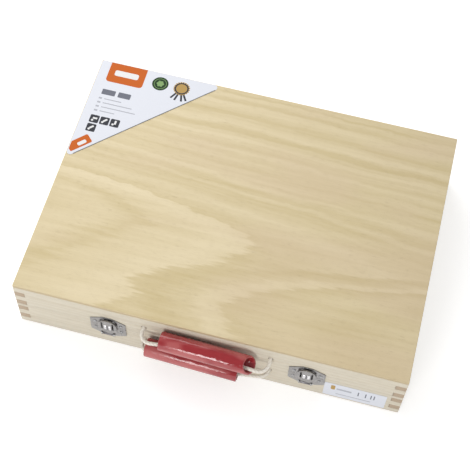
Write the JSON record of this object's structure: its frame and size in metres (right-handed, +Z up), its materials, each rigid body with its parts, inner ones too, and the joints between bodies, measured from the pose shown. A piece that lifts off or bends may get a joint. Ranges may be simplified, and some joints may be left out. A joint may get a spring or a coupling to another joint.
{
  "type": "toy tool box",
  "caption": "Shallow hinged wooden case for toy tools, with front latches and cord handles in red tube grips.",
  "frame": {"origin": "centre of the base panel's underside", "axes": "+X along the width, +Z up from the base to the lid, -Y towards the front with the latches and handles"},
  "size_m": [0.37, 0.2991, 0.0703],
  "materials": {
    "veneer": "sanded light plywood with straight and arched grain",
    "base_ply": "sanded light plywood",
    "wall_wood": "sanded light wood",
    "nickel": "nickel-plated pressed steel",
    "steel": "zinc-plated steel",
    "cotton": "cream cotton cord",
    "red_plastic": "glossy red plastic tube",
    "paper": "white coated paper"
  },
  "bodies": {
    "base": {"base_panel": "base_ply", "base_front_wall": "wall_wood", "base_back_wall": "wall_wood", "base_left_wall": "wall_wood", "base_right_wall": "wall_wood", "hinge_base_leaf_1": "steel", "hinge_base_leaf_2": "steel", "hinge_pin_1": "steel", "hinge_pin_2": "steel", "hinge_base_screw_1_left": "steel", "hinge_base_screw_1_right": "steel", "hinge_base_screw_2_left": "steel", "hinge_base_screw_2_right": "steel", "latch_base_plate_1": "nickel", "latch_base_plate_2": "nickel", "latch_pin_1": "nickel", "latch_pin_2": "nickel", "latch_base_screw_1_left": "steel", "latch_base_screw_1_right": "steel", "latch_base_screw_2_left": "steel", "latch_base_screw_2_right": "steel", "front_sticker": "paper"},
    "lid": {"lid_panel": "veneer", "lid_front_wall": "wall_wood", "lid_back_wall": "wall_wood", "lid_left_wall": "wall_wood", "lid_right_wall": "wall_wood", "hinge_lid_leaf_1": "steel", "hinge_lid_leaf_2": "steel", "hinge_lid_screw_1_left": "steel", "hinge_lid_screw_1_right": "steel", "hinge_lid_screw_2_left": "steel", "hinge_lid_screw_2_right": "steel", "latch_keeper_1": "nickel", "latch_keeper_2": "nickel", "latch_keeper_screw_1_left": "steel", "latch_keeper_screw_1_right": "steel", "latch_keeper_screw_2_left": "steel", "latch_keeper_screw_2_right": "steel", "corner_label": "paper"},
    "left_latch": {"latch_flap_1": "nickel"},
    "right_latch": {"latch_flap_2": "nickel"},
    "upper_handle": {"upper_cord": "cotton"},
    "upper_grip_tube": {"upper_grip": "red_plastic"},
    "lower_handle": {"lower_cord": "cotton"},
    "lower_grip_tube": {"lower_grip": "red_plastic"}
  },
  "joints": [
    {"name": "lid_hinge", "type": "hinge", "parent": "base", "child": "lid", "pos_m": [0, 0.1388, 0.035], "axis": [-1, 0, 0], "range_deg": [0, 180]},
    {"name": "left_latch_hinge", "type": "hinge", "parent": "base", "child": "left_latch", "pos_m": [-0.095, -0.1388, 0.0235], "axis": [1, 0, 0], "range_deg": [0, 135]},
    {"name": "right_latch_hinge", "type": "hinge", "parent": "base", "child": "right_latch", "pos_m": [0.095, -0.1388, 0.0235], "axis": [1, 0, 0], "range_deg": [0, 135]},
    {"name": "upper_handle_pull", "type": "slide", "parent": "lid", "child": "upper_handle", "axis": [0, -1, 0], "range_m": [0, 0.02]},
    {"name": "upper_grip_spin", "type": "hinge", "parent": "upper_handle", "child": "upper_grip_tube", "pos_m": [0.0035, -0.1476, 0.053], "axis": [0.9996, -0.0297, 0], "continuous": true},
    {"name": "lower_handle_pull", "type": "slide", "parent": "base", "child": "lower_handle", "axis": [0, -1, 0], "range_m": [0, 0.02]},
    {"name": "lower_grip_spin", "type": "hinge", "parent": "lower_handle", "child": "lower_grip_tube", "pos_m": [-0.011, -0.1476, 0.0315], "axis": [0.9996, -0.0297, 0], "continuous": true}
  ]
}
